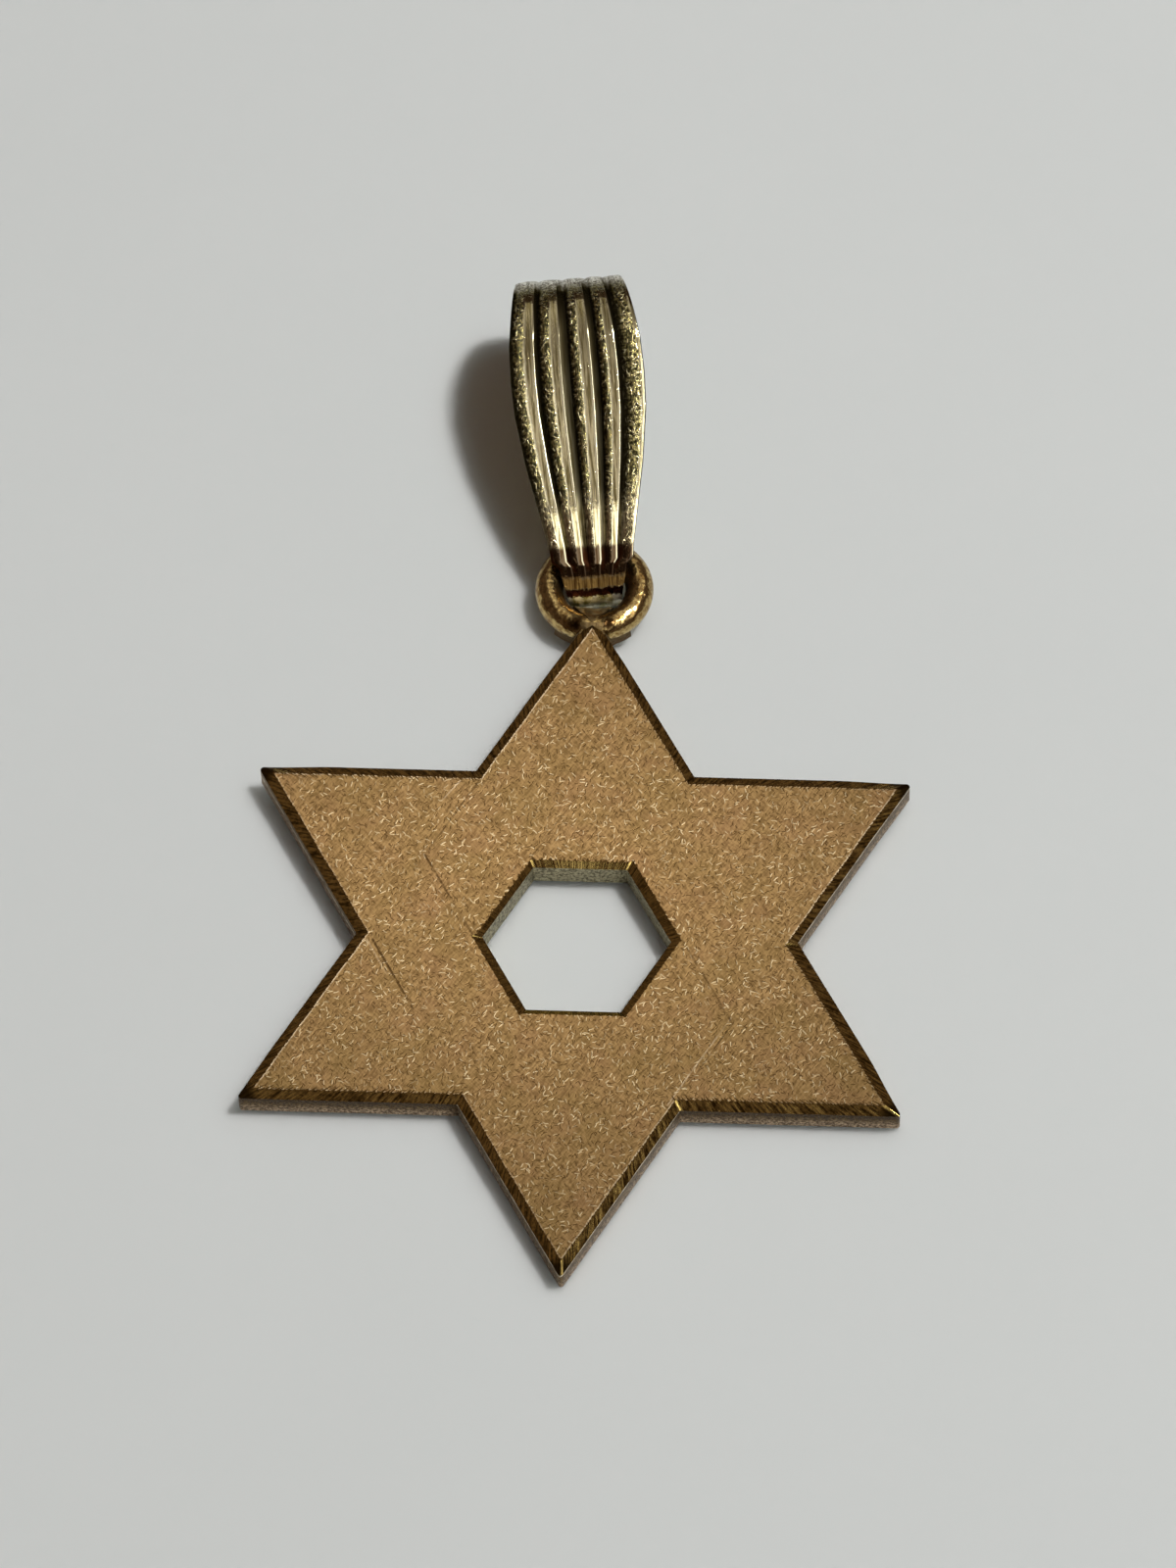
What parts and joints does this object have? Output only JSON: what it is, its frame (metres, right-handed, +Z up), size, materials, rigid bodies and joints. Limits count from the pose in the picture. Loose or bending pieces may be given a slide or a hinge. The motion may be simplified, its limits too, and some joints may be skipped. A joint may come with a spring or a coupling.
{
  "type": "star of david pendant",
  "caption": "Flat gold hexagram pendant with bright-cut edges, a hexagonal window, a soldered wire ring at its top point and a fluted, tapered bail folded to take a chain.",
  "frame": {"origin": "on the table under the middle of the lying pendant, so that z = 0 is the surface it rests on", "axes": "+Y runs from the star's bottom point to the bail, +X to the right as seen from above, +Z up out of the star's face"},
  "size_m": [0.024, 0.0416, 0.0058],
  "materials": {
    "frosted_gold": "matte frosted face with fine scratches, bright-cut edges and grainy sides",
    "polished_gold": "polished pale yellow gold with fine lengthwise grain"
  },
  "bodies": {
    "root": {"star_with_ring": "frosted_gold", "bail": "polished_gold"}
  },
  "joints": []
}
